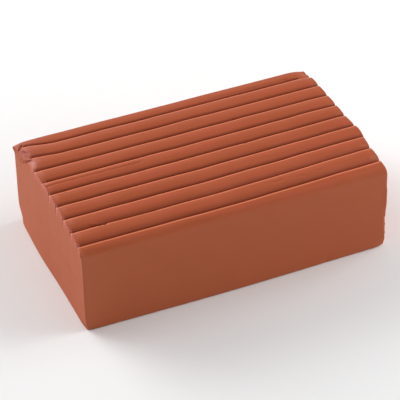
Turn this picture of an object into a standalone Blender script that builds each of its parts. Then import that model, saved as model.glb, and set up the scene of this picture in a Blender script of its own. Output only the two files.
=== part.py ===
"""Clay bar: one extruded, wire-cut block of detailing clay with a ribbed upper face.

Frame: +X runs along the ribs, +Y to the back, +Z up. The origin is the middle of the
flat underside. All sizes are in metres.
"""

import math

import bmesh
import bpy

# Driving sizes of the block
LENGTH = 0.090  # between the two wire-cut ends
WIDTH = 0.054  # across the ribs
SIDE_HEIGHT = 0.0265  # height of the ribbed face at its two long edges
CROWN = 0.0010  # how much higher the ribbed face is along its middle

# Ribbed face, as the extrusion die forms it
GROOVE_COUNT = 9
BACK_STRIP = 0.0043  # long back edge to the first groove
FRONT_STRIP = 0.0035  # last groove to the long front edge
GROOVE_WIDTH = 0.0008  # across the mouth of a groove
GROOVE_DEPTH = 0.0009  # below the lips of a groove
CREST_RADIUS = 0.0070  # curve of a rib across its top

# Softened edges
BACK_SHOULDER = 0.0005  # long upper edge at the back
FRONT_SHOULDER = 0.0019  # long upper edge at the front
FOOT_RADIUS = 0.0005  # long lower edges
END_ROUNDING = 0.0004  # rim of each wire-cut end

# Facets
RIB_SEGMENTS = 7
SHOULDER_SEGMENTS = 5
FOOT_SEGMENTS = 4
END_SEGMENTS = 2
MERGE_DISTANCE = 0.000001

# Finish of the clay
CLAY_COLOUR = (0.42, 0.100, 0.045, 1.0)
CLAY_ROUGHNESS = 0.55


def clear_scene():
    """Remove every object that the new file starts with."""
    for obj in list(bpy.data.objects):
        bpy.data.objects.remove(obj, do_unlink=True)


def new_collection(name):
    """Return a new collection linked to the scene."""
    collection = bpy.data.collections.new(name)
    bpy.context.scene.collection.children.link(collection)
    return collection


def clay_material():
    """Return the satin terracotta clay."""
    material = bpy.data.materials.new("detailing_clay")
    material.use_nodes = True
    shader = material.node_tree.nodes["Principled BSDF"]
    shader.inputs["Base Color"].default_value = CLAY_COLOUR
    shader.inputs["Roughness"].default_value = CLAY_ROUGHNESS
    shader.inputs["Metallic"].default_value = 0.0
    return material


def face_height(y):
    """Height of the ribbed face's lips at a distance y from the middle plane."""
    return SIDE_HEIGHT + CROWN * (1.0 - (2.0 * y / WIDTH) ** 2)


def groove_centres():
    """Places of the grooves across the bar, from back to front."""
    first = WIDTH / 2 - BACK_STRIP
    last = FRONT_STRIP - WIDTH / 2
    pitch = (first - last) / (GROOVE_COUNT - 1)
    return [first - pitch * i for i in range(GROOVE_COUNT)]


def arc(centre, radius, start, end, segments):
    """Points along an arc of the cross-section, angles in degrees from +Y to +Z."""
    points = []
    for i in range(segments + 1):
        angle = math.radians(start + (end - start) * i / segments)
        points.append((centre[0] + radius * math.cos(angle), centre[1] + radius * math.sin(angle)))
    return points


def rib_crest(back, front):
    """Points over one rib, from its back lip to its front lip."""
    middle = (back + front) / 2
    half = (back - front) / 2
    points = []
    for i in range(RIB_SEGMENTS + 1):
        y = back + (front - back) * i / RIB_SEGMENTS
        rise = (half**2 - (y - middle) ** 2) / (2.0 * CREST_RADIUS)
        points.append((y, face_height(y) + rise))
    return points


def shoulder(side, radius):
    """Rounded upper long edge, from the wall to the top; side is 1 at the back, -1 at the front."""
    y = WIDTH / 2 - radius
    rounded = arc((y, face_height(y) - radius), radius, 0, 90, SHOULDER_SEGMENTS)
    return [(side * point[0], point[1]) for point in rounded]


def foot(side):
    """Rounded lower long edge, from the underside to the wall."""
    centre = (WIDTH / 2 - FOOT_RADIUS, FOOT_RADIUS)
    rounded = arc(centre, FOOT_RADIUS, -90, 0, FOOT_SEGMENTS)
    return [(side * point[0], point[1]) for point in rounded]


def die_outline():
    """Closed cross-section of the bar: up the back, over the ribs, down the front."""
    back_shoulder = shoulder(1, BACK_SHOULDER)
    front_shoulder = shoulder(-1, FRONT_SHOULDER)
    outline = foot(1) + back_shoulder[:-1]
    lip = back_shoulder[-1][0]
    for centre in groove_centres():
        outline += rib_crest(lip, centre + GROOVE_WIDTH / 2)
        outline.append((centre, face_height(centre) - GROOVE_DEPTH))
        lip = centre - GROOVE_WIDTH / 2
    outline += rib_crest(lip, front_shoulder[-1][0])
    outline += front_shoulder[-2::-1] + foot(-1)[::-1]
    return outline


def extrude_outline(outline):
    """Draw the outline as a filled curve, extrude it along X, and return its mesh."""
    curve = bpy.data.curves.new("die_outline", "CURVE")
    curve.dimensions = "2D"
    curve.fill_mode = "BOTH"
    curve.extrude = LENGTH / 2
    spline = curve.splines.new("POLY")
    spline.points.add(len(outline) - 1)
    for point, (y, z) in zip(spline.points, outline):
        point.co = (y, z, 0.0, 1.0)
    spline.use_cyclic_u = True
    drawing = bpy.data.objects.new("die_outline", curve)
    bpy.context.scene.collection.objects.link(drawing)
    # the drawing's own X, Y and Z become the bar's Y, Z and X
    drawing.rotation_euler = (math.radians(90), 0.0, math.radians(90))
    bpy.context.view_layer.update()
    evaluated = drawing.evaluated_get(bpy.context.evaluated_depsgraph_get())
    mesh = bpy.data.meshes.new_from_object(evaluated)
    mesh.transform(drawing.matrix_world)
    bpy.data.objects.remove(drawing, do_unlink=True)
    return mesh


def weld_and_mark_ends(mesh):
    """Join the caps to the walls, make each cap one face, and mark the caps' rims for the bevel."""
    body = bmesh.new()
    body.from_mesh(mesh)
    bmesh.ops.remove_doubles(body, verts=body.verts, dist=MERGE_DISTANCE)
    bmesh.ops.recalc_face_normals(body, faces=body.faces)
    weight = body.edges.layers.float.new("bevel_weight_edge")
    for direction in (-1, 1):
        cap = [face for face in body.faces if face.normal.x * direction > 0.5]
        whole_cap = bmesh.ops.dissolve_faces(body, faces=cap)["region"][0]
        for edge in whole_cap.edges:
            edge[weight] = 1.0
    body.to_mesh(mesh)
    body.free()


def make_clay_bar(collection):
    """Extrude the ribbed block and round the rims of its two cut ends."""
    mesh = extrude_outline(die_outline())
    weld_and_mark_ends(mesh)
    mesh.name = "clay_bar"
    mesh.materials.clear()
    mesh.materials.append(clay_material())
    bar = bpy.data.objects.new("clay_bar", mesh)
    collection.objects.link(bar)
    rims = bar.modifiers.new("cut_end_rims", "BEVEL")
    rims.limit_method = "WEIGHT"
    rims.width = END_ROUNDING
    rims.segments = END_SEGMENTS
    rims.use_clamp_overlap = False
    mesh.shade_smooth()
    mesh.set_sharp_from_angle(angle=math.radians(35))
    return bar


def main():
    """Build the clay bar in a collection of its own."""
    clear_scene()
    make_clay_bar(new_collection("clay_bar"))


main()
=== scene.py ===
"""A ribbed bar of detailing clay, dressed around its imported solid.

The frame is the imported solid's own: +X runs along the ribs, +Y to the back and +Z up, in
metres, with the origin at the middle of the flat underside. The bar is one block of putty,
extruded through a die that ribs its upper face and cut to length by a wire at both ends.
"""

import logging
import math
from dataclasses import dataclass, field, replace
from enum import Enum

import bpy
import numpy as np
from mathutils import Matrix, Vector


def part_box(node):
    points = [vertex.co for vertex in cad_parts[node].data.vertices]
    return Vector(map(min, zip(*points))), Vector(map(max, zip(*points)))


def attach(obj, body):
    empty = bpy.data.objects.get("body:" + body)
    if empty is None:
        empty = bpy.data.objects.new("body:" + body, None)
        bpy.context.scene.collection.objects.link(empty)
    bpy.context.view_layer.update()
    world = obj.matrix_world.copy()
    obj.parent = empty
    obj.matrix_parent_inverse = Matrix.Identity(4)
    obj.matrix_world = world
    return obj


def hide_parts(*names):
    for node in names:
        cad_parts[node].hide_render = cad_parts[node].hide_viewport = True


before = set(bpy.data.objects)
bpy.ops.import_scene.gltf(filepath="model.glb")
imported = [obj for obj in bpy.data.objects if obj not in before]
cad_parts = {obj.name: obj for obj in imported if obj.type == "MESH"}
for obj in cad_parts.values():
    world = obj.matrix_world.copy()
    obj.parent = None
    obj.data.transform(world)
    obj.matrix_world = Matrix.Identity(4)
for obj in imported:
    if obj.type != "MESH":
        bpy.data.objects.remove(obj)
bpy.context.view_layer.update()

LOG = logging.getLogger("clay_bar")
MM = 0.001
BAKE_MAP = "OFBake"
SIDE_HEIGHT = 26.5 * MM
Colour = tuple[float, float, float]
Triple = tuple[float, float, float]


class Mark(Enum):
    """The marks that the mesh carries for the clay's material to read."""

    CUT = "cut_face"
    # the smeared rim and corner: made more matt, and paler with a painted sheen
    SMEAR_AND_SHEEN = "smeared_lip_and_sheen"
    # a pale line along each rib's lip: a painted highlight
    PAINTED_HIGHLIGHT = "rib_painted_highlight"
    # a dark line in each groove: painted shade
    PAINTED_SHADE = "groove_painted_shade"


def ease(value: np.ndarray, low: float, high: float) -> np.ndarray:
    """Ramp smoothly from 0 to 1.

    Args:
        value: The numbers to look up.
        low: Where the ramp leaves 0.
        high: Where the ramp reaches 1.

    Returns:
        The ramp at each number, from 0 to 1.
    """
    t = np.clip((value - low) / (high - low), 0.0, 1.0)
    return t * t * (3.0 - 2.0 * t)


def hump(value: np.ndarray, centre: float, reach: float) -> np.ndarray:
    """Give a bell that is 1 at its centre and dies away over its reach."""
    return np.exp(-(((value - centre) / reach) ** 2))


@dataclass(frozen=True)
class Ripple:
    """Smooth, repeatable unevenness, as a sum of waves in random directions."""

    wavelength: float
    seed: int
    waves: int = 12
    pace: tuple[float, float] = (0.6, 1.6)

    def at(self, *coordinates: np.ndarray) -> np.ndarray:
        """Read the unevenness at some places.

        Args:
            coordinates: One array for each direction that the unevenness varies in.

        Returns:
            Values of about -1 to 1, in the shape of the arrays.
        """
        rng = np.random.default_rng(self.seed)
        total = np.zeros(np.broadcast(*coordinates).shape)
        for _ in range(self.waves):
            direction = rng.normal(size=len(coordinates))
            direction *= rng.uniform(*self.pace) / np.linalg.norm(direction)
            phase = rng.uniform(0.0, 2.0 * math.pi)
            travel = sum(d * c for d, c in zip(direction, coordinates))
            total = total + np.sin(2.0 * math.pi * travel / self.wavelength + phase)
        return total / math.sqrt(self.waves)


@dataclass(frozen=True)
class Groove:
    """One groove between two ribs: the rib behind rolls down into it, the rib in front ends in a lip.

    Its line strays to the back by its drift at the right end and by its drag at the left end, and
    it is open between two places along the bar.
    """

    place: float
    roll: float
    lip: float
    depth: float
    drift: float
    drag: float
    opens: float
    closes: float = 45.5 * MM
    fade: float = 0.22 * MM
    drift_span: tuple[float, float] = (-5.0 * MM, 48.0 * MM)
    drag_span: tuple[float, float] = (-45.0 * MM, -34.0 * MM)
    wander: float = 0.03 * MM
    wander_length: float = 17.0 * MM
    wander_waves: int = 5
    wander_seed: int = 50
    roll_curve: float = 2.4
    lip_curve: float = 1.5

    def centre(self, x: np.ndarray) -> np.ndarray:
        """Follow the groove's line, which may stray to the back towards either end.

        Args:
            x: Places along the bar.

        Returns:
            The line's place across the bar at each of them.
        """
        seed = round(self.place / MM) + self.wander_seed
        wander = Ripple(self.wander_length, seed, self.wander_waves).at(x)
        dragged = self.drag * (1.0 - ease(x, *self.drag_span))
        return self.place + self.drift * ease(x, *self.drift_span) + dragged + self.wander * wander

    def cut(self, x: np.ndarray, y: np.ndarray) -> np.ndarray:
        """Give the groove's depth below its lips.

        Args:
            x: Places along the bar.
            y: Places across the bar.

        Returns:
            The depth at each place, 0 outside the groove.
        """
        away = y - self.centre(x)
        behind = np.clip(1.0 - away / self.roll, 0.0, 1.0) ** self.roll_curve
        before = np.clip(1.0 + away / self.lip, 0.0, 1.0) ** self.lip_curve
        present = ease(x, self.opens - self.fade, self.opens + self.fade)
        present = present * (1.0 - ease(x, self.closes - self.fade, self.closes + self.fade))
        return self.depth * present * np.where(away > 0.0, behind, before)

    def line_beside(self, x: np.ndarray, y: np.ndarray, offset: float, reach: float) -> np.ndarray:
        """Mark a thin line that runs beside the groove.

        Args:
            x: Places along the bar.
            y: Places across the bar.
            offset: How far the line lies in front of the groove's centre.
            reach: How far the mark spreads.

        Returns:
            Shares from 0 to 1, highest along the line.
        """
        present = ease(x, self.opens - MM, self.opens) * (1.0 - ease(x, self.closes, self.closes + MM))
        return present * hump(self.centre(x) - y, offset, reach)


@dataclass
class RibbedFace:
    """The upper face: crowned across the bar, with ribs between its grooves.

    The ribs' crests sag towards both cut ends. The offsets, in millimetres, are where the mesh
    samples the two sides of a groove.
    """

    width: float
    side_height: float
    crown: float = 1.0 * MM
    crest_radius: float = 7.2 * MM
    back_shoulder: float = 0.5 * MM
    sag_start: float = 42.0 * MM
    sag_stop: float = 45.0 * MM
    sag_share: float = 0.5
    back_overrun: float = 1.0 * MM
    front_shoulder: float = 1.9 * MM
    grooves: list[Groove] = field(default_factory=list)
    lip_offsets: tuple[float, ...] = (0.0, 0.08, 0.17, 0.26, 0.34, 0.40, 0.45, 0.52, 0.64, 0.82)
    roll_offsets: tuple[float, ...] = (0.0, 0.06, 0.13, 0.22, 0.33, 0.46, 0.62, 0.82, 1.06, 1.35, 1.7)
    crest_steps: int = 10
    crest_width: float = 3.3 * MM

    def columns(self) -> list[tuple[int, float]]:
        """List the places across the face that the mesh samples.

        Returns:
            Pairs of a strip's number, counted from the back, and a share of the way across
            it. They lie close together at the grooves' walls.
        """
        found = []
        last = len(self.grooves)
        for strip in range(last + 1):
            back, front = self.strip_edges(strip, np.zeros(1))
            span = float((back - front)[0])
            first = [offset * MM / span for offset in self.lip_offsets]
            final = [1.0 - offset * MM / span for offset in self.roll_offsets[::-1]]
            first = first if strip > 0 else [0.0]
            final = final if strip < last else [1.0]
            steps = round(self.crest_steps * (final[0] - first[-1]) * span / self.crest_width)
            shares = first + list(np.linspace(first[-1], final[0], steps + 1)[1:-1]) + final
            if strip < last:
                shares = shares[:-1]
            found += [(strip, share) for share in shares]
        return found

    def strip_edges(self, strip: int, x: np.ndarray) -> tuple[np.ndarray, np.ndarray]:
        """Find the two lines that bound a strip.

        Args:
            strip: The strip's number, counted from the back.
            x: Places along the bar.

        Returns:
            The strip's back edge and its front edge at each place.
        """
        last = len(self.grooves)
        back_edge = self.width / 2 - self.back_shoulder
        front_edge = self.front_shoulder - self.width / 2
        back = self.grooves[strip - 1].centre(x) if strip > 0 else np.full_like(x, back_edge)
        front = self.grooves[strip].centre(x) if strip < last else np.full_like(x, front_edge)
        return back, front

    def height(self, strip: int, x: np.ndarray, y: np.ndarray) -> np.ndarray:
        """Give the face's height over one strip.

        Args:
            strip: The strip's number, counted from the back.
            x: Places along the bar.
            y: Places across the bar, inside the strip.

        Returns:
            The height above the underside.
        """
        back, front = self.strip_edges(strip, x)
        if strip == 0:
            back = back + self.back_overrun
        half = (back - front) / 2
        offset = y - (back + front) / 2
        lips = self.side_height + self.crown * (1.0 - (2.0 * y / self.width) ** 2)
        crest = (half**2 - offset**2) / (2.0 * self.crest_radius)
        crest = crest * (1.0 - self.sag_share * ease(np.abs(x), self.sag_start, self.sag_stop))
        cut = np.zeros_like(y)
        for groove in self.grooves[max(strip - 1, 0) : strip + 1]:
            cut = np.maximum(cut, groove.cut(x, y))
        return lips + crest - cut


class CutEnd(Enum):
    """The two wire-cut ends, by the way that each faces."""

    LEFT = -1
    RIGHT = 1


@dataclass
class CutFace:
    """One wire-cut end: its rim, its belly and how far its upper edge leans in.

    The belly is fullest at one place across the bar. The face's mesh runs in rings from the rim to
    a spine that stops short of the walls; softening keeps the rim from folding at sharp lips.
    """

    end: CutEnd
    belly: float
    lean: float
    rim: float = 0.3 * MM
    fullest: float = 9.0 * MM
    belly_reach: float = 13.0 * MM
    spine_inset: float = 3.0 * MM
    softening: int = 24
    rim_steps: int = 4
    rings: tuple[float, ...] = (0.03, 0.07, 0.12, 0.18, 0.26, 0.36, 0.48, 0.62, 0.76, 0.88, 0.97)

    def bulge(self, y: np.ndarray, z: np.ndarray, width: float, height: float) -> np.ndarray:
        """Give how far the cut stands out from its plane.

        Args:
            y: Places across the bar.
            z: Heights above the underside.
            width: The bar's width.
            height: The bar's height.

        Returns:
            The distance outwards at each place.
        """
        middle = 1.0 - np.clip(2.0 * y / width, -1.0, 1.0) ** 2
        up = np.clip(z / height, 0.0, 1.0)
        return self.belly * hump(y, self.fullest, self.belly_reach) * (1.0 - up) - self.lean * middle * up


@dataclass(frozen=True)
class Waviness:
    """The slight unevenness of soft walls, in millimetres, which dies away at the flat underside."""

    height: float
    wavelength: float
    seed: int
    calm_below: float = 0.5
    full_above: float = 5.0

    def move(self, points: np.ndarray) -> np.ndarray:
        """Give the displacement of each point.

        Args:
            points: Places in metres, with X, Y and Z on the last axis.

        Returns:
            The displacements, in the same shape.
        """
        x, y, z = points[..., 0], points[..., 1], points[..., 2]
        wave = self.wavelength * MM
        swings = [
            Ripple(wave, self.seed).at(y, z),
            Ripple(wave, self.seed + 1).at(x, z),
            Ripple(wave, self.seed + 2).at(x, y),
        ]
        share = ease(z, self.calm_below * MM, self.full_above * MM)[..., None]
        return np.stack(swings, axis=-1) * self.height * MM * share


@dataclass(frozen=True)
class Press:
    """A soft push that a thumb, a tray or the wire gave to one spot, in millimetres."""

    centre: Triple
    reach: Triple
    push: Triple

    def move(self, points: np.ndarray) -> np.ndarray:
        """Give the displacement of each point.

        Args:
            points: Places in metres, with X, Y and Z on the last axis.

        Returns:
            The displacements, in the same shape.
        """
        away = (points - np.array(self.centre) * MM) / (np.array(self.reach) * MM)
        share = np.exp(-(away**2).sum(-1, keepdims=True))
        return share * np.array(self.push) * MM


@dataclass(frozen=True)
class Crease:
    """A fold, tear or scratch along a line, in millimetres, maybe with a raised lip on one side.

    The tail, lip_offset and lip_spread are shares of the reach. The crease acts on the skin only,
    and has died away at the second of its two depths.
    """

    start: Triple
    finish: Triple
    reach: float
    depth: float
    inward: Triple = (0.0, 0.0, -1.0)
    lip: float = 0.0
    ragged: float = 0.0
    seed: int = 1
    tail: float = 1.5
    lip_offset: float = 1.5
    lip_spread: float = 1.1
    skin: tuple[float, float] = (1.2, 2.6)
    ragged_length: float = 1.3
    ragged_waves: int = 6

    def move(self, points: np.ndarray) -> np.ndarray:
        """Give the displacement of each point.

        Args:
            points: Places in metres, with X, Y and Z on the last axis.

        Returns:
            The displacements, in the same shape.
        """
        start = np.array(self.start) * MM
        along = np.array(self.finish) * MM - start
        length = np.linalg.norm(along)
        along = along / length
        inward = np.array(self.inward) / np.linalg.norm(self.inward)
        side = np.cross(along, inward)
        local = points - start
        travel = local @ along
        sideways = local @ side
        if self.ragged:
            stray = Ripple(self.ragged_length * MM, self.seed, self.ragged_waves).at(travel)
            sideways = sideways + self.ragged * MM * stray
        deep = np.abs(local @ inward)
        reach = self.reach * MM
        tail = reach * self.tail
        ends = ease(travel, -reach, tail) * (1.0 - ease(travel, length - tail, length + reach))
        ends = ends * (1.0 - ease(deep, self.skin[0] * MM, self.skin[1] * MM))
        cut = hump(sideways, 0.0, reach) * self.depth
        raised = hump(sideways, self.lip_offset * reach, self.lip_spread * reach) * self.lip
        return (ends * (cut - raised))[..., None] * inward * MM


@dataclass(frozen=True)
class Noise:
    """Noise with so many features a millimetre along X, Y and Z, and finer layers on top."""

    features: Triple
    layers: float
    roughness: float = 0.55


@dataclass(frozen=True)
class Ramp:
    """A smooth step from one range of values to another."""

    low: float
    high: float
    to_low: float = 0.0
    to_high: float = 1.0


@dataclass
class NodeBoard:
    """A material's node tree, with short ways to add to it."""

    tree: bpy.types.NodeTree

    def add(self, kind: str, inputs: dict[str | int, object], **settings: object) -> bpy.types.Node:
        """Add a node and fill its inputs.

        Args:
            kind: The node's type.
            inputs: A value or another node's output for each input, by name or number.
            settings: The node's own settings.

        Returns:
            The new node.
        """
        node = self.tree.nodes.new(kind)
        for name, value in settings.items():
            setattr(node, name, value)
        for name, value in inputs.items():
            if isinstance(value, bpy.types.NodeSocket):
                self.tree.links.new(value, node.inputs[name])
            else:
                node.inputs[name].default_value = value
        return node

    def math(self, operation: str, *values: object) -> bpy.types.NodeSocket:
        """Do one sum and return its output."""
        return self.add("ShaderNodeMath", dict(enumerate(values)), operation=operation).outputs[0]

    def total(self, *values: object) -> bpy.types.NodeSocket:
        """Add several values up.

        Args:
            values: The values or other nodes' outputs.

        Returns:
            Their sum.
        """
        result = values[0]
        for value in values[1:]:
            result = self.math("ADD", result, value)
        return result

    def noise(self, place: bpy.types.NodeSocket, noise: Noise) -> bpy.types.NodeSocket:
        """Make noise.

        Args:
            place: Coordinates in millimetres.
            noise: Its features and layers.

        Returns:
            The noise, about 0.5 on average.
        """
        factors = {0: place, 1: noise.features}
        scaled = self.add("ShaderNodeVectorMath", factors, operation="MULTIPLY").outputs[0]
        inputs = {"Vector": scaled, "Scale": 1.0, "Detail": noise.layers, "Roughness": noise.roughness}
        return self.add("ShaderNodeTexNoise", inputs).outputs["Fac"]

    def spread(self, value: bpy.types.NodeSocket, ramp: Ramp) -> bpy.types.NodeSocket:
        """Map a value along a ramp.

        Args:
            value: The value to map.
            ramp: The range that is read and the range that it is mapped to.

        Returns:
            The mapped value, held inside its range.
        """
        inputs = {"Value": value, "From Min": ramp.low, "From Max": ramp.high}
        inputs |= {"To Min": ramp.to_low, "To Max": ramp.to_high}
        return self.add("ShaderNodeMapRange", inputs, interpolation_type="SMOOTHSTEP").outputs["Result"]

    def blend(self, share: object, first: object, second: object) -> bpy.types.NodeSocket:
        """Mix two colours by a share and return the output."""
        inputs = {0: share, 6: first, 7: second}
        return self.add("ShaderNodeMix", inputs, data_type="RGBA").outputs[2]

    def fade(self, share: object, first: object, second: object) -> bpy.types.NodeSocket:
        """Mix two values by a share and return the output."""
        return self.add("ShaderNodeMix", {0: share, 2: first, 3: second}, data_type="FLOAT").outputs[0]

    def marked(self, mark: Mark) -> bpy.types.NodeSocket:
        """Read a mark that the mesh carries."""
        return self.add("ShaderNodeAttribute", {}, attribute_name=mark.value).outputs["Fac"]


@dataclass(frozen=True)
class ClayPattern:
    """The noises and marks that the clay's colour, gloss and relief are made from."""

    mottle: bpy.types.NodeSocket
    patch: bpy.types.NodeSocket
    streak: bpy.types.NodeSocket
    lumps: bpy.types.NodeSocket
    grain: bpy.types.NodeSocket
    ribbed: bpy.types.NodeSocket
    # the cut faces: their streaks and matt are real, their paler tone is painted sheen
    cut: bpy.types.NodeSocket
    # the smeared rim: a real matt smear in the roughness, painted sheen in the colour
    smear: bpy.types.NodeSocket
    # the painted highlight along each rib's lip
    edge: bpy.types.NodeSocket
    # the painted shade in each groove
    depth: bpy.types.NodeSocket


@dataclass(frozen=True)
class ClayFinish:
    """Satin terracotta putty: mottled, faintly die-streaked, smeared where cut, with painted sheen,
    highlights and shade.
    """

    name: str = "detailing_clay"
    brown: Colour = (0.392, 0.077, 0.023)
    plain: Colour = (0.420, 0.084, 0.028)
    red: Colour = (0.437, 0.079, 0.031)
    # the paler, pinker tone of the cut faces and the smeared rim: painted sheen
    smeared: Colour = (0.438, 0.100, 0.060)
    # the darker tone of the walls below the ribs: painted shade
    wall: Colour = (0.390, 0.088, 0.026)
    # the pale line along each rib's lip: a painted highlight
    edge: Colour = (0.760, 0.215, 0.100)
    # the dark line in each groove: painted shade
    depth: Colour = (0.180, 0.024, 0.004)
    speck: Colour = (0.25, 0.05, 0.02)
    die_streaks: Noise = Noise((0.045, 1.5, 1.5), 5.0, 0.62)
    wall_streaks: Noise = Noise((0.12, 0.4, 0.3), 4.0)
    wire_streaks: Noise = Noise((0.5, 0.30, 0.06), 3.0, 0.45)
    mottling: Noise = Noise((0.09, 0.16, 0.16), 4.0)
    patches: Noise = Noise((0.05, 0.33, 0.33), 3.0)
    lumps: Noise = Noise((0.35, 0.5, 0.5), 3.0)
    grain: Noise = Noise((3.6, 3.6, 3.6), 5.0, 0.65)
    ribbed_above: Ramp = Ramp(25.0, 27.0)
    browning: Ramp = Ramp(0.42, 0.60, 0.85, 0.0)
    reddening: Ramp = Ramp(0.52, 0.68, 0.0, 0.8)
    # how much of the painted sheen each spot of the cut faces and the rim gets
    smear_sheen_cover: Ramp = Ramp(0.3, 0.6, 0.7, 1.0)
    # how much of the walls' painted shade they get, none on the ribbed top
    wall_shade_cover: Ramp = Ramp(0.0, 1.0, 0.75, 0.0)
    specks: Ramp = Ramp(0.62, 0.72, 0.0, 0.12)
    streak_weight: float = 0.6
    mottle_weight: float = 0.4
    # how strongly the painted highlight and painted shade lines are laid on
    line_cover: float = 0.95
    specular: float = 0.34
    roughness: float = 0.24
    mottle_roughness: float = 0.16
    streak_roughness: float = 0.10
    smear_roughness: float = 0.32
    grain_height: float = 0.010
    streak_height: float = 0.035
    cut_streak_share: float = 0.4
    lump_height: float = 0.050

    def build(self) -> bpy.types.Material:
        """Make the clay's material.

        Returns:
            The material.
        """
        material = bpy.data.materials.new(self.name)
        material.use_nodes = True
        board = NodeBoard(material.node_tree)
        shader = material.node_tree.nodes["Principled BSDF"]
        pattern = self.pattern(board)
        board.tree.links.new(self.colour(board, pattern), shader.inputs["Base Color"])
        board.tree.links.new(self.gloss(board, pattern), shader.inputs["Roughness"])
        shader.inputs["Specular IOR Level"].default_value = self.specular
        relief = {"Height": self.relief(board, pattern), "Distance": MM, "Strength": 1.0}
        bump = board.add("ShaderNodeBump", relief)
        board.tree.links.new(bump.outputs["Normal"], shader.inputs["Normal"])
        return material

    def pattern(self, board: NodeBoard) -> ClayPattern:
        """Lay out the noises, in millimetres, and read the mesh's marks.

        Args:
            board: The material's nodes.

        Returns:
            The noises and the marks.
        """
        spot = board.add("ShaderNodeTexCoord", {}).outputs["Object"]
        to_mm = {0: spot, "Scale": 1.0 / MM}
        place = board.add("ShaderNodeVectorMath", to_mm, operation="SCALE").outputs[0]
        height = board.add("ShaderNodeSeparateXYZ", {0: place}).outputs[2]
        ribbed = board.spread(height, self.ribbed_above)
        cut = board.marked(Mark.CUT)
        die_streak = board.noise(place, self.die_streaks)
        wall_streak = board.noise(place, self.wall_streaks)
        wire_streak = board.noise(place, self.wire_streaks)
        streak = board.fade(ribbed, wall_streak, die_streak)
        return ClayPattern(
            mottle=board.noise(place, self.mottling),
            patch=board.noise(place, self.patches),
            streak=board.fade(cut, streak, wire_streak),
            lumps=board.noise(place, self.lumps),
            grain=board.noise(place, self.grain),
            ribbed=ribbed,
            cut=cut,
            smear=board.marked(Mark.SMEAR_AND_SHEEN),
            edge=board.marked(Mark.PAINTED_HIGHLIGHT),
            depth=board.marked(Mark.PAINTED_SHADE),
        )

    def colour(self, board: NodeBoard, pattern: ClayPattern) -> bpy.types.NodeSocket:
        """Mix the clay's tones.

        Args:
            board: The material's nodes.
            pattern: The noises and marks.

        Returns:
            The colour.
        """
        streak = board.math("MULTIPLY", pattern.streak, self.streak_weight)
        mottle = board.math("MULTIPLY", pattern.mottle, self.mottle_weight)
        browner = board.spread(board.total(streak, mottle), self.browning)
        # the cut faces and the smeared rim are painted paler: painted sheen
        dragged = board.math("MAXIMUM", pattern.cut, pattern.smear)
        cover = board.spread(pattern.mottle, self.smear_sheen_cover)
        tone = board.blend(browner, (*self.plain, 1.0), (*self.brown, 1.0))
        layers = [
            (board.spread(pattern.patch, self.reddening), self.red),
            # the paler tone of the cut faces and the smeared rim: painted sheen
            (board.math("MULTIPLY", dragged, cover), self.smeared),
            # the walls below the ribs are painted darker than the top: painted shade
            (board.spread(pattern.ribbed, self.wall_shade_cover), self.wall),
            # the pale line along each rib's lip: a painted highlight
            (board.math("MULTIPLY", pattern.edge, self.line_cover), self.edge),
            # the dark line in each groove: painted shade
            (board.math("MULTIPLY", pattern.depth, self.line_cover), self.depth),
            (board.spread(pattern.grain, self.specks), self.speck),
        ]
        for share, layer in layers:
            tone = board.blend(share, tone, (*layer, 1.0))
        return tone

    def gloss(self, board: NodeBoard, pattern: ClayPattern) -> bpy.types.NodeSocket:
        """Make the clay's roughness uneven, and its cuts and smears more matt.

        Args:
            board: The material's nodes.
            pattern: The noises and marks.

        Returns:
            The roughness.
        """
        dragged = board.math("MAXIMUM", pattern.cut, pattern.smear)
        return board.total(
            self.roughness,
            board.math("MULTIPLY", pattern.mottle, self.mottle_roughness),
            board.math("MULTIPLY", pattern.streak, self.streak_roughness),
            board.math("MULTIPLY", dragged, self.smear_roughness),
        )

    def relief(self, board: NodeBoard, pattern: ClayPattern) -> bpy.types.NodeSocket:
        """Add up the clay's fine relief, in millimetres.

        Args:
            board: The material's nodes.
            pattern: The noises and marks.

        Returns:
            The height.
        """
        cut_streak = self.cut_streak_share * self.streak_height
        streak_height = board.spread(pattern.cut, Ramp(0.0, 1.0, self.streak_height, cut_streak))
        return board.total(
            board.math("MULTIPLY", pattern.grain, self.grain_height),
            board.math("MULTIPLY", pattern.streak, streak_height),
            board.math("MULTIPLY", pattern.lumps, self.lump_height),
        )


@dataclass(frozen=True)
class SmearedEnd:
    """Where the wire smeared the left cut's upper rim and its back corner, in millimetres; these places are
    made matt and get a painted sheen.
    """

    rim: tuple[float, float] = (0.2, 0.9)
    rim_height: tuple[float, float] = (23.0, 25.5)
    corner: float = 20.0
    corner_reach: tuple[float, float] = (4.5, 8.0)
    corner_height: tuple[float, float] = (20.0, 25.0)

    def share(self, points: np.ndarray, left: float) -> np.ndarray:
        """Say how smeared each point is.

        Args:
            points: Places in metres, with X, Y and Z on the last axis.
            left: Where the left cut is.

        Returns:
            Shares from 0 to 1, highest along the rim and at the corner.
        """
        x, y, z = (points[..., axis] / MM for axis in range(3))
        past = x - left / MM
        band = (1.0 - ease(past, *self.rim)) * ease(z, *self.rim_height)
        along, across = self.corner_reach
        corner = hump(past, 0.0, along) * hump(y, self.corner, across) * ease(z, *self.corner_height)
        return np.clip(band + corner, 0.0, 1.0)


@dataclass(frozen=True)
class FlatLayout:
    """Where the skin and the two cut faces lie on the flat sheet, as shares of the bar's sizes."""

    sheet_width: float = 1.9
    sheet_height: float = 2.4
    face_start: float = 1.12
    second_face: float = 1.3
    margin: float = 0.01


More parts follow.
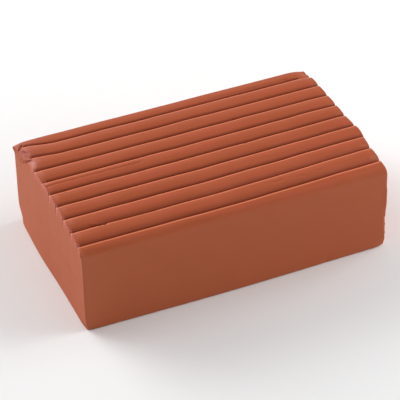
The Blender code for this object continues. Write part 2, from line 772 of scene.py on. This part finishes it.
@dataclass
class ClayBar:
    """The whole bar: an extruded tube of rings, closed by its two cut faces.

    The steps along the bar are fine at its ends and coarse in its middle. Each line mark is how
    far it lies in front of a groove's centre and how far it spreads.
    """

    length: float
    width: float
    face: RibbedFace
    ends: tuple[CutFace, CutFace]
    finish: ClayFinish
    marks: list[Waviness | Press | Crease]
    foot: float = 0.55 * MM
    wall_steps: int = 24
    arc_steps: int = 7
    floor_steps: int = 26
    left_step: float = 0.24 * MM
    next_step: float = 0.38 * MM
    middle_step: float = 0.55 * MM
    right_step: float = 0.3 * MM
    fine_stretch: float = 8.0 * MM
    lean_reach: float = 4.0 * MM
    face_marks_from: tuple[float, float] = (24.5 * MM, 26.0 * MM)
    # where the painted highlight runs along each rib's lip
    painted_highlight_line: tuple[float, float] = (0.74 * MM, 0.22 * MM)
    # where the painted shade runs in each groove
    painted_shade_line: tuple[float, float] = (-0.16 * MM, 0.4 * MM)
    smear: SmearedEnd = SmearedEnd()
    layout: FlatLayout = FlatLayout()

    def stations(self) -> np.ndarray:
        """Choose the places along the bar that the mesh samples.

        Returns:
            The places, closest together near the ends.
        """
        half = self.length / 2
        left = -half + self.ends[0].rim
        right = half - self.ends[1].rim
        fine = self.fine_stretch
        stretches = [
            (left, left + fine, self.left_step),
            (left + fine, left + 2.0 * fine, self.next_step),
            (left + 2.0 * fine, right - fine, self.middle_step),
            (right - fine, right, self.right_step),
        ]
        places = [np.array([left])]
        for start, stop, step in stretches:
            count = max(1, round((stop - start) / step))
            places.append(np.linspace(start, stop, count + 1)[1:])
        return np.concatenate(places)

    def arc(self, start: float, stop: float) -> np.ndarray:
        """Give the angles of a rounded long edge, in radians."""
        return np.radians(np.linspace(start, stop, self.arc_steps + 1))

    def section(self, x: np.ndarray) -> np.ndarray:
        """Draw the bar's cross-section at some places along it.

        Args:
            x: The places along the bar.

        Returns:
            An array of places by samples by (Y, Z), going up the back, over the ribs, down
            the front and back under the bar.
        """
        face, half = self.face, self.width / 2
        x = x[:, None]
        back_round, front_round = face.back_shoulder, face.front_shoulder
        last = len(face.grooves)
        back_top = face.height(0, x, np.full_like(x, half - back_round))
        front_top = face.height(last, x, np.full_like(x, front_round - half))
        parts = []

        def add(y: np.ndarray, z: np.ndarray) -> None:
            """Keep one stretch of the outline."""
            y, z = np.broadcast_arrays(y + 0.0 * x, z + 0.0 * x)
            parts.append(np.stack([y, z], axis=-1))

        low = self.arc(-90.0, 0.0)
        high = self.arc(0.0, 90.0)
        rise = np.linspace(0.0, 1.0, self.wall_steps + 1)[1:-1]
        add(half - self.foot + self.foot * np.cos(low), self.foot + self.foot * np.sin(low))
        add(np.array([half]), self.foot + rise * (back_top - back_round - self.foot))
        turn_y = half - back_round + back_round * np.cos(high)
        add(turn_y, back_top - back_round + back_round * np.sin(high))
        columns = face.columns()[1:-1]
        ys = np.empty((len(x), len(columns)))
        zs = np.empty_like(ys)
        for i, (strip, share) in enumerate(columns):
            back, front = face.strip_edges(strip, x[:, 0])
            ys[:, i] = back + (front - back) * share
            zs[:, i] = face.height(strip, x[:, 0], ys[:, i])
        parts.append(np.stack([ys, zs], axis=-1))
        over = high[::-1]
        turn_y = front_round - half - front_round * np.cos(over)
        add(turn_y, front_top - front_round + front_round * np.sin(over))
        add(np.array([-half]), self.foot + rise[::-1] * (front_top - front_round - self.foot))
        add(-half + self.foot - self.foot * np.cos(low[::-1]), self.foot + self.foot * np.sin(low[::-1]))
        under = np.linspace(-half + self.foot, half - self.foot, self.floor_steps + 1)[1:-1]
        add(under, np.zeros(1))
        return np.concatenate(parts, axis=1)

    def cut_rings(self, cut: CutFace) -> np.ndarray:
        """Turn the bar's outline in over one end, round its rim and across its cut face.

        Args:
            cut: The end to close.

        Returns:
            Rings of points, from the rim's outside to the middle of the face.
        """
        facing = cut.end.value
        plane = facing * self.length / 2
        outline = self.section(np.array([plane - facing * cut.rim]))[0]
        tangent = np.roll(outline, -1, axis=0) - np.roll(outline, 1, axis=0)
        tangent /= np.linalg.norm(tangent, axis=1, keepdims=True)
        inward = np.stack([-tangent[:, 1], tangent[:, 0]], axis=1)
        for _ in range(cut.softening):
            inward = (np.roll(inward, 1, axis=0) + 2.0 * inward + np.roll(inward, -1, axis=0)) / 4.0
        rings = []
        for step in range(1, cut.rim_steps + 1):
            turn = math.radians(90.0 * step / cut.rim_steps)
            flat = outline + inward * cut.rim * (1.0 - math.cos(turn))
            x = plane - facing * cut.rim * (1.0 - math.sin(turn))
            rings.append(np.column_stack([np.full(len(flat), x), flat]))
        rim = rings[-1]
        height = self.face.side_height
        spine = rim.copy()
        reach = self.width / 2 - cut.spine_inset
        spine[:, 1] = np.clip(outline[:, 0], -reach, reach)
        spine[:, 2] = height / 2
        for share in cut.rings:
            rings.append(rim + (spine - rim) * share)
        rings = np.array(rings)
        rings[..., 0] += facing * cut.bulge(rings[..., 1], rings[..., 2], self.width, height)
        return rings

    def rings(self) -> tuple[np.ndarray, np.ndarray]:
        """Lay out every ring of the bar from its left face to its right face.

        Returns:
            The points, as rings by samples by (X, Y, Z), and how much of each ring is cut
            face, from 0 to 1.
        """
        places = self.stations()
        section = self.section(places)
        x = np.broadcast_to(places[:, None], section.shape[:2])
        tube = np.concatenate([x[..., None], section], axis=-1)
        for cut in self.ends:
            facing = cut.end.value
            near = ease(facing * tube[..., 0], self.length / 2 - self.lean_reach, self.length / 2)
            lean = cut.bulge(tube[..., 1], tube[..., 2], self.width, self.face.side_height)
            tube[..., 0] += facing * near * lean
        left = self.cut_rings(self.ends[0])
        right = self.cut_rings(self.ends[1])
        cut_share = np.concatenate([
            np.ones(len(left) - self.ends[0].rim_steps),
            np.linspace(1.0, 0.0, self.ends[0].rim_steps + 1)[1:],
            np.zeros(len(tube) - 1),
            np.linspace(0.0, 1.0, self.ends[1].rim_steps + 1)[:-1],
            np.ones(len(right) - self.ends[1].rim_steps + 1),
        ])
        return np.concatenate([left[::-1], tube, right]), cut_share

    def build(self) -> bpy.types.Object:
        """Make the bar's mesh and dress it.

        Returns:
            The bar.
        """
        points, cut_share = self.rings()
        moved = points.copy()
        for mark in self.marks:
            moved += mark.move(points)
        moved[..., 2] = np.maximum(moved[..., 2], 0.0)
        count, samples = points.shape[:2]
        index = np.arange(count * samples).reshape(count, samples)
        after = np.roll(index, -1, axis=1)
        quads = np.stack([index[:-1], after[:-1], after[1:], index[1:]], axis=-1).reshape(-1, 4)
        faces = quads.tolist() + [index[0][::-1].tolist(), index[-1].tolist()]
        mesh = bpy.data.meshes.new("clay_bar_putty")
        mesh.from_pydata(moved.reshape(-1, 3).tolist(), [], faces)
        # the cut and smear marks carry the cut faces' painted sheen as well as their real matt
        self.put_mark(mesh, Mark.CUT, np.repeat(cut_share, samples))
        self.put_mark(mesh, Mark.SMEAR_AND_SHEEN, self.smear.share(points, -self.length / 2))
        # the painted highlight along the lips and the painted shade in the grooves
        self.put_mark(mesh, Mark.PAINTED_HIGHLIGHT, self.lines_beside_grooves(points, *self.painted_highlight_line))
        self.put_mark(mesh, Mark.PAINTED_SHADE, self.lines_beside_grooves(points, *self.painted_shade_line))
        self.unwrap(mesh, points)
        mesh.shade_smooth()
        mesh.materials.append(self.finish.build())
        bar = bpy.data.objects.new("clay_bar_putty", mesh)
        bpy.context.scene.collection.objects.link(bar)
        return bar

    def put_mark(self, mesh: bpy.types.Mesh, mark: Mark, values: np.ndarray) -> None:
        """Store one number at each vertex for the material to read."""
        numbers = values.astype(np.float32).reshape(-1)
        mesh.attributes.new(mark.value, "FLOAT", "POINT").data.foreach_set("value", numbers)

    def lines_beside_grooves(self, points: np.ndarray, offset: float, reach: float) -> np.ndarray:
        """Mark a thin line that runs beside every groove.

        Args:
            points: Places in metres, with X, Y and Z on the last axis.
            offset: How far the line lies in front of a groove's centre.
            reach: How far the mark spreads.

        Returns:
            Shares from 0 to 1, highest along the lines.
        """
        x, y, z = points[..., 0], points[..., 1], points[..., 2]
        lines = [groove.line_beside(x, y, offset, reach) for groove in self.face.grooves]
        return np.max(lines, axis=0) * ease(z, *self.face_marks_from)

    def unwrap(self, mesh: bpy.types.Mesh, points: np.ndarray) -> None:
        """Lay the bar out flat: its skin as one sheet, with the two cut faces beside it.

        Args:
            mesh: The bar's mesh.
            points: The points of its rings, before the marks.
        """
        count, samples = points.shape[:2]
        layout, height = self.layout, self.face.side_height
        sheet = layout.sheet_width * self.width + layout.sheet_height * height
        beside = layout.face_start * self.length + self.width / 2
        above = layout.second_face * height
        middle = points[count // 2]
        round_the_bar = np.linalg.norm(np.roll(middle, -1, axis=0) - middle, axis=1)
        across = np.concatenate([[0.0], np.cumsum(round_the_bar)])
        left_rings = len(self.ends[0].rings)
        right_rings = len(self.ends[1].rings)
        ring = np.repeat(np.arange(count - 1), samples)
        sample = np.tile(np.arange(samples), count - 1)
        steps = np.abs(np.diff(points[:, 0, 0])) + np.abs(np.diff(points[:, 0, 2]))
        along = np.concatenate([[0.0], np.cumsum(steps)])
        corners = [(0, 0), (0, 1), (1, 1), (1, 0)]
        spots = []
        for step, turn in corners:
            u = along[ring + step] - along[left_rings]
            v = across[sample + turn]
            face_point = points[ring + step, (sample + turn) % samples]
            left = ring < left_rings
            right = ring >= count - 1 - right_rings
            u = np.where(left | right, beside + face_point[:, 1], u)
            v = np.where(left, face_point[:, 2], v)
            v = np.where(right, face_point[:, 2] + above, v)
            spots.append(np.stack([u, v], axis=-1))
        skin = np.stack(spots, axis=1).reshape(-1, 2)
        first = points[0][::-1, 1:] + [beside, 0.0]
        final = points[-1][:, 1:] + [beside, above]
        spread = np.concatenate([skin, first, final]) / sheet + layout.margin
        layer = mesh.uv_layers.new(name=BAKE_MAP)
        layer.data.foreach_set("uv", spread.astype(np.float32).reshape(-1))


@dataclass(frozen=True)
class Lamp:
    """One square soft lamp that faces the bar, placed by its bearing and its height angle."""

    name: str
    azimuth: float
    elevation: float
    size: float
    power: float
    distance: float = 1.0

    def place(self) -> Vector:
        """Work out where the lamp hangs."""
        return view_direction(self.azimuth, self.elevation) * self.distance

    def build(self) -> bpy.types.Object:
        """Hang the lamp, facing the bar.

        Returns:
            The lamp.
        """
        data = bpy.data.lights.new(self.name, "AREA")
        data.size = self.size
        data.energy = self.power
        lamp = bpy.data.objects.new(self.name, data)
        bpy.context.scene.collection.objects.link(lamp)
        lamp.location = self.place()
        lamp.rotation_euler = self.place().to_track_quat("Z", "Y").to_euler()
        return lamp


def view_direction(azimuth: float, elevation: float) -> Vector:
    """Point from the bar to a bearing and a height angle, in degrees; bearing 0 is the front."""
    a, e = math.radians(azimuth), math.radians(elevation)
    return Vector((math.sin(a) * math.cos(e), -math.cos(a) * math.cos(e), math.sin(e)))


@dataclass(frozen=True)
class TableFinish:
    """Matt, pale and even."""

    name: str = "pale_table"
    tone: float = 0.9
    roughness: float = 0.9

    def build(self) -> bpy.types.Material:
        """Make the table's material.

        Returns:
            The material.
        """
        material = bpy.data.materials.new(self.name)
        material.use_nodes = True
        shader = material.node_tree.nodes["Principled BSDF"]
        shader.inputs["Base Color"].default_value = (self.tone, self.tone, self.tone, 1.0)
        shader.inputs["Roughness"].default_value = self.roughness
        return material


@dataclass
class Studio:
    """A pale table, soft lamps and the camera."""

    target: Triple = (-0.76 * MM, -1.96 * MM, 13.0 * MM)
    azimuth: float = -22.361
    elevation: float = 37.767
    roll: float = -1.205
    distance: float = 603.53 * MM
    lens: float = 193.5
    sky: float = 0.4
    table_side: float = 6.0
    table_finish: TableFinish = TableFinish()
    lamps: tuple[Lamp, ...] = (
        Lamp("back_left_softbox", -135.0, 22.0, 0.7, 3.58),
        Lamp("back_high_softbox", -150.0, 27.0, 0.7, 3.26),
        Lamp("back_low_softbox", -150.0, 18.0, 0.7, 3.05),
        Lamp("back_softbox", -165.0, 22.0, 0.7, 1.29),
        Lamp("side_softbox", 90.0, 40.0, 0.6, 3.03),
        Lamp("near_softbox", 68.0, 15.0, 0.25, 0.9, 0.4),
    )

    def camera(self) -> None:
        """Set the camera up at its angle."""
        data = bpy.data.cameras.new("camera")
        data.lens = self.lens
        data.clip_start = 0.01
        camera = bpy.data.objects.new("camera", data)
        bpy.context.scene.collection.objects.link(camera)
        back = view_direction(self.azimuth, self.elevation)
        right = Vector((0.0, 0.0, 1.0)).cross(back).normalized()
        turn = Matrix.Rotation(math.radians(self.roll), 3, back)
        axes = Matrix((turn @ right, turn @ back.cross(right), back)).transposed()
        camera.matrix_world = Matrix.Translation(Vector(self.target) + back * self.distance) @ axes.to_4x4()
        bpy.context.scene.camera = camera

    def table(self) -> bpy.types.Object:
        """Lay the pale table under the bar.

        Returns:
            The table.
        """
        mesh = bpy.data.meshes.new("table")
        side = self.table_side / 2
        corners = [(-side, -side, 0.0), (side, -side, 0.0), (side, side, 0.0), (-side, side, 0.0)]
        mesh.from_pydata(corners, [], [(0, 1, 2, 3)])
        mesh.materials.append(self.table_finish.build())
        table = bpy.data.objects.new("table", mesh)
        bpy.context.scene.collection.objects.link(table)
        return table

    def build(self) -> None:
        """Set up the light, the table and the camera."""
        world = bpy.data.worlds.new("pale_room")
        bpy.context.scene.world = world
        world.use_nodes = True
        background = world.node_tree.nodes["Background"]
        background.inputs["Color"].default_value = (1.0, 1.0, 1.0, 1.0)
        background.inputs["Strength"].default_value = self.sky
        for lamp in self.lamps:
            lamp.build()
        self.table()
        self.camera()
        bpy.context.scene.view_settings.view_transform = "Standard"


# Strips beside the first and the last groove, and each groove's roll, lip, depth, drift, drag and
# opening, from back to front, in millimetres
BACK_STRIP = 4.3
FRONT_STRIP = 3.5
GROOVE_CUTS = (
    (0.9, 0.42, 0.9, 0.0, 1.9, -42.7),
    (1.0, 0.42, 1.15, 0.05, 1.3, -42.8),
    (1.0, 0.42, 1.1, 0.15, 0.2, -44.2),
    (1.05, 0.42, 1.1, 0.3, 0.0, -43.5),
    (1.05, 0.42, 1.15, 0.45, 0.0, -44.4),
    (1.1, 0.42, 1.2, 0.7, 0.0, -44.4),
    (1.15, 0.42, 1.2, 1.0, 0.0, -44.45),
    (1.6, 0.45, 1.25, 1.3, 0.0, -44.45),
    (1.7, 0.45, 1.35, 1.1, 0.0, -44.4),
)


def die_grooves(width: float) -> list[Groove]:
    """Place the die's grooves across the bar.

    Args:
        width: The bar's width.

    Returns:
        The grooves, from back to front.
    """
    first = width / 2 - BACK_STRIP * MM
    last = FRONT_STRIP * MM - width / 2
    places = np.linspace(first, last, len(GROOVE_CUTS))
    grooves = []
    for place, sizes in zip(places, GROOVE_CUTS):
        grooves.append(Groove(float(place), *(size * MM for size in sizes)))
    # the first groove heals over before the right end
    grooves[0] = replace(grooves[0], closes=40.8 * MM, fade=0.8 * MM)
    return grooves


def crumpled_corner() -> list[Press | Crease]:
    """Crumple the back corner of the left cut, where the wire dragged the clay over.

    Returns:
        The marks.
    """
    inward = (1.0, 0.0, -0.3)
    steep = (0.4, 0.0, -1.0)
    return [
        # the rim rolls down, and the corner's tip is pulled out and down
        Press((-45.4, 19.5, 27.2), (1.9, 5.5, 2.2), (0.35, 0.0, -0.9)),
        Press((-45.4, 26.8, 26.3), (1.6, 1.2, 1.6), (-0.6, 0.0, -0.5)),
        # the slit, and the pit where the first groove starts
        Crease((-45.2, 23.4, 26.4), (-43.2, 25.4, 27.0), 0.22, 0.7, lip=0.12),
        Press((-42.7, 24.5, 27.0), (0.35, 0.3, 0.8), (0.0, 0.0, -0.5)),
        # two wrinkles, and the fold that runs from the cut face over the rim
        Crease((-44.9, 23.2, 26.0), (-42.8, 20.0, 27.2), 0.27, 0.45, lip=0.25, ragged=0.15, seed=12),
        Crease((-45.1, 22.0, 25.3), (-43.8, 18.9, 26.7), 0.27, 0.45, lip=0.25, ragged=0.15, seed=13),
        Crease((-45.1, 22.2, 24.2), (-44.9, 18.6, 26.1), 0.28, 0.65, inward, lip=0.25, ragged=0.15, seed=3),
        Crease((-44.9, 18.5, 26.3), (-42.9, 16.6, 27.4), 0.28, 0.6, steep, lip=0.2, ragged=0.1, seed=4),
        # the third rib's end rolls off, with a pit below it and a faint line across it
        Press((-45.4, 15.3, 27.3), (1.4, 2.2, 1.8), (0.45, 0.0, -0.55)),
        Press((-45.0, 15.0, 25.2), (0.4, 0.35, 0.35), (0.5, 0.0, 0.0)),
        Crease((-42.6, 17.0, 27.8), (-41.6, 13.9, 27.8), 0.45, 0.10, lip=0.05),
    ]


def settled_foot() -> list[Press]:
    """Spread the foot of the front wall a little, and round three of the lower corners.

    Returns:
        The marks.
    """
    return [
        Press((-10.0, -27.0, 0.8), (45.0, 2.5, 3.5), (0.0, -0.32, 0.0)),
        Press((-45.5, 27.5, 0.0), (2.2, 2.2, 3.5), (0.9, -0.6, 0.0)),
        Press((-45.0, -27.0, 0.0), (1.8, 1.8, 2.0), (0.4, 0.3, 0.0)),
        Press((45.0, -27.0, 0.0), (1.8, 1.8, 2.0), (-0.4, 0.3, 0.2)),
    ]


def wire_burrs(grooves: list[Groove]) -> list[Press | Crease]:
    """Leave the wire's notches and burrs at the ends of the grooves and on the upright edges.

    Args:
        grooves: The grooves whose ends get them.

    Returns:
        The marks.
    """
    marks: list[Press | Crease] = []
    for groove in grooves:
        y = groove.place / MM
        marks.append(Press((-45.0, y - 0.1, 27.0), (0.3, 0.3, 0.4), (0.12, 0.0, -0.15)))
    marks += [
        # a burr at the front of the left cut
        Press((-44.7, -26.3, 25.8), (0.7, 0.6, 0.9), (-0.4, -0.3, 0.1)),
        # the right cut's back corner droops, with a notch in front of it
        Press((45.3, 25.5, 27.0), (3.2, 2.6, 3.0), (-0.1, -0.2, -0.9)),
        Press((44.7, 22.6, 26.8), (0.6, 0.5, 0.8), (-0.5, 0.0, -0.5)),
        # the right cut's rim stands out at one rib
        Press((45.2, -10.6, 26.9), (0.45, 0.35, 0.5), (0.35, 0.0, 0.1)),
        Press((45.2, -8.0, 27.0), (2.5, 4.0, 4.0), (0.7, 0.0, 0.1)),
        # the ragged upright edge at the front of the right cut
        Crease((44.9, -27.0, 13.5), (44.9, -27.0, 20.5), 0.45, -0.16, (-0.7, 0.7, 0.0), ragged=0.1, seed=5),
    ]
    for height in (3.9, 5.3, 6.4, 8.6, 9.7, 11.2):
        marks.append(Press((44.9, -26.9, height), (0.4, 0.4, 0.32), (-0.25, 0.2, 0.0)))
    return marks


def handling_marks() -> list[Press | Crease | Waviness]:
    """Put the die's stray lines, the scratches and the dents on the ribs and the front.

    Returns:
        The marks.
    """
    return [
        # the front wall swells a little low down
        Press((0.0, -27.0, 0.0), (36.0, 4.0, 7.0), (0.0, -0.5, 0.0)),
        # stray lines of the die on the fifth rib and on the first
        Crease((-44.0, 3.0, 27.9), (-16.0, 2.7, 27.9), 0.28, 0.30, lip=0.08),
        Crease((13.0, 23.7, 26.9), (38.0, 23.7, 26.9), 0.25, 0.28, lip=0.06),
        # a tear across the eighth groove, and its tail on the ninth rib
        Crease((-38.9, -17.4, 27.0), (-34.4, -18.1, 27.0), 0.30, 0.5, lip=0.3, ragged=0.15, seed=6),
        Crease((-36.0, -18.6, 27.0), (-20.0, -18.3, 27.0), 0.22, 0.16, lip=0.05),
        # three short scratches on the ninth rib
        Crease((13.6, -20.3, 27.0), (16.4, -20.0, 27.0), 0.28, 0.22, lip=0.12, ragged=0.1, seed=7),
        Crease((20.6, -20.6, 27.0), (22.8, -20.4, 27.0), 0.28, 0.20, lip=0.12, ragged=0.1, seed=8),
        Crease((26.9, -20.4, 27.0), (28.9, -20.2, 27.0), 0.26, 0.18, lip=0.10, ragged=0.1, seed=9),
        # a dent at the fifth groove and one at the foot of the front
        Press((13.6, -0.3, 27.6), (0.5, 0.4, 0.6), (0.0, 0.0, -0.5)),
        Press((26.6, -27.0, 1.0), (0.9, 0.6, 0.6), (0.0, 0.25, 0.0)),
        Waviness(0.030, 21.0, 11),
    ]


def main() -> None:
    """Build the bar and the studio, and report each piece."""
    low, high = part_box("clay_bar")
    length, width = high.x - low.x, high.y - low.y
    face = RibbedFace(width=width, side_height=SIDE_HEIGHT, grooves=die_grooves(width))
    ends = (
        CutFace(CutEnd.LEFT, belly=0.5 * MM, lean=0.45 * MM),
        CutFace(CutEnd.RIGHT, belly=0.2 * MM, lean=0.0 * MM),
    )
    marks = crumpled_corner() + settled_foot() + wire_burrs(face.grooves[4:]) + handling_marks()
    bar = ClayBar(length=length, width=width, face=face, ends=ends, finish=ClayFinish(), marks=marks)
    piece = bar.build()
    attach(piece, "root")
    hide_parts("clay_bar")
    LOG.info("%s: %d faces", piece.name, len(piece.data.polygons))
    Studio().build()


if __name__ == "__main__":
    logging.basicConfig(level=logging.INFO, format="%(name)s: %(message)s")
    main()
